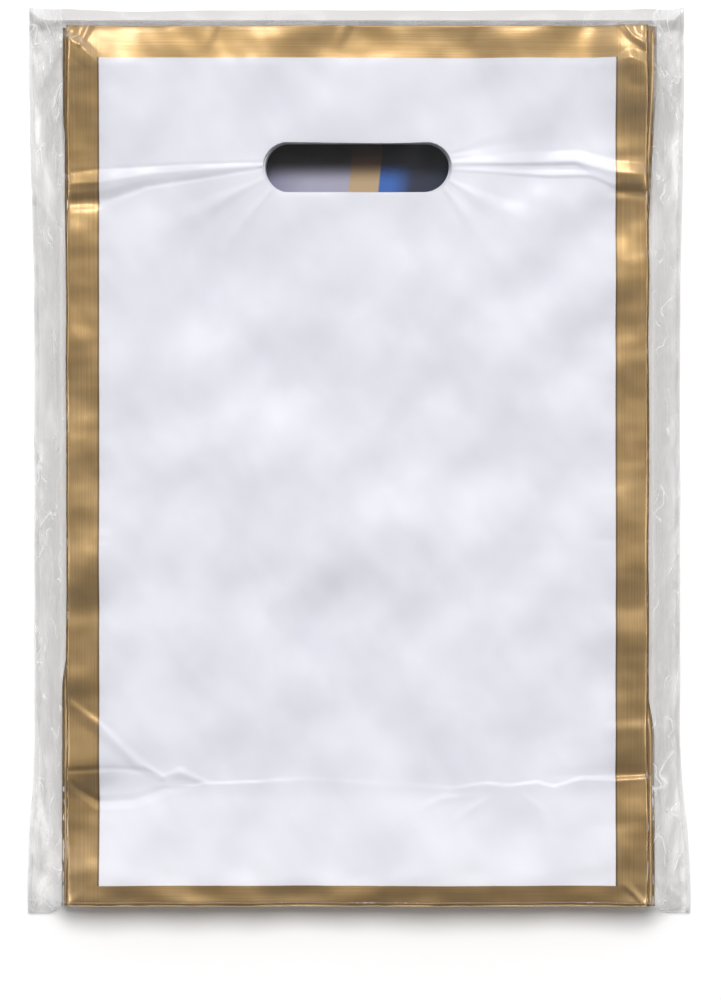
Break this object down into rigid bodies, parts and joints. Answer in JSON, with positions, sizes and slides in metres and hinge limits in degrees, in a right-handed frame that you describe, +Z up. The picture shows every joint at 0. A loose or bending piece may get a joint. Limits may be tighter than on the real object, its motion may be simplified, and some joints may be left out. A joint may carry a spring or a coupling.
{
  "type": "gift bag",
  "caption": "Flat plastic gift bags with a punched handle slot and a gold border, stacked on a card in a clear self-seal sleeve.",
  "frame": {"origin": "on the surface that the pack lies on, below the middle of its outline", "axes": "+X across the pack, +Y along it towards the handle slots and the sleeve's mouth, +Z up out of the front face"},
  "size_m": [0.185, 0.256, 0.0134],
  "materials": {
    "printed_film": "satin white plastic film with a printed gold border",
    "gold_film": "satin metallic gold print on plastic film",
    "clear_film": "clear glossy crinkled polypropylene film",
    "adhesive": "hazy adhesive strip under a clear release tape",
    "card": "smooth printed card: white, with a gold band and a blue block"
  },
  "bodies": {
    "sleeve": {"sleeve_front_film": "clear_film", "sleeve_back_film": "clear_film", "sleeve_side_weld_left": "clear_film", "sleeve_side_weld_right": "clear_film", "sleeve_foot_weld": "clear_film"},
    "sleeve_flap": {"sleeve_flap": "clear_film", "flap_adhesive_strip": "adhesive"},
    "insert_card": {"insert_card": "card"},
    "bag_1": {"bag_1_front_panel": "printed_film", "bag_1_back_panel": "printed_film", "bag_1_bottom_gusset": "gold_film", "bag_1_side_seam_left": "gold_film", "bag_1_side_seam_right": "gold_film"},
    "bag_2": {"bag_2_front_panel": "printed_film", "bag_2_back_panel": "printed_film", "bag_2_bottom_gusset": "gold_film", "bag_2_side_seam_left": "gold_film", "bag_2_side_seam_right": "gold_film"},
    "bag_3": {"bag_3_front_panel": "printed_film", "bag_3_back_panel": "printed_film", "bag_3_bottom_gusset": "gold_film", "bag_3_side_seam_left": "gold_film", "bag_3_side_seam_right": "gold_film"},
    "bag_4": {"bag_4_front_panel": "printed_film", "bag_4_back_panel": "printed_film", "bag_4_bottom_gusset": "gold_film", "bag_4_side_seam_left": "gold_film", "bag_4_side_seam_right": "gold_film"},
    "bag_5": {"bag_5_front_panel": "printed_film", "bag_5_back_panel": "printed_film", "bag_5_bottom_gusset": "gold_film", "bag_5_side_seam_left": "gold_film", "bag_5_side_seam_right": "gold_film"},
    "bag_6": {"bag_6_front_panel": "printed_film", "bag_6_back_panel": "printed_film", "bag_6_bottom_gusset": "gold_film", "bag_6_side_seam_left": "gold_film", "bag_6_side_seam_right": "gold_film"},
    "bag_7": {"bag_7_front_panel": "printed_film", "bag_7_back_panel": "printed_film", "bag_7_bottom_gusset": "gold_film", "bag_7_side_seam_left": "gold_film", "bag_7_side_seam_right": "gold_film"},
    "bag_8": {"bag_8_front_panel": "printed_film", "bag_8_back_panel": "printed_film", "bag_8_bottom_gusset": "gold_film", "bag_8_side_seam_left": "gold_film", "bag_8_side_seam_right": "gold_film"}
  },
  "joints": [
    {"name": "sleeve_flap_hinge", "type": "hinge", "parent": "sleeve", "child": "sleeve_flap", "pos_m": [0, 0.128, 0.00057], "axis": [1, 0, 0], "range_deg": [0, 180]},
    {"name": "insert_card_slide", "type": "slide", "parent": "sleeve", "child": "insert_card", "axis": [0, 1, 0], "range_m": [0, 0.26]},
    {"name": "bag_1_slide", "type": "slide", "parent": "sleeve", "child": "bag_1", "axis": [0, 1, 0], "range_m": [0, 0.26]},
    {"name": "bag_2_slide", "type": "slide", "parent": "sleeve", "child": "bag_2", "axis": [0, 1, 0], "range_m": [0, 0.26]},
    {"name": "bag_3_slide", "type": "slide", "parent": "sleeve", "child": "bag_3", "axis": [0, 1, 0], "range_m": [0, 0.26]},
    {"name": "bag_4_slide", "type": "slide", "parent": "sleeve", "child": "bag_4", "axis": [0, 1, 0], "range_m": [0, 0.26]},
    {"name": "bag_5_slide", "type": "slide", "parent": "sleeve", "child": "bag_5", "axis": [0, 1, 0], "range_m": [0, 0.26]},
    {"name": "bag_6_slide", "type": "slide", "parent": "sleeve", "child": "bag_6", "axis": [0, 1, 0], "range_m": [0, 0.26]},
    {"name": "bag_7_slide", "type": "slide", "parent": "sleeve", "child": "bag_7", "axis": [0, 1, 0], "range_m": [0, 0.26]},
    {"name": "bag_8_slide", "type": "slide", "parent": "sleeve", "child": "bag_8", "axis": [0, 1, 0], "range_m": [0, 0.26]}
  ]
}
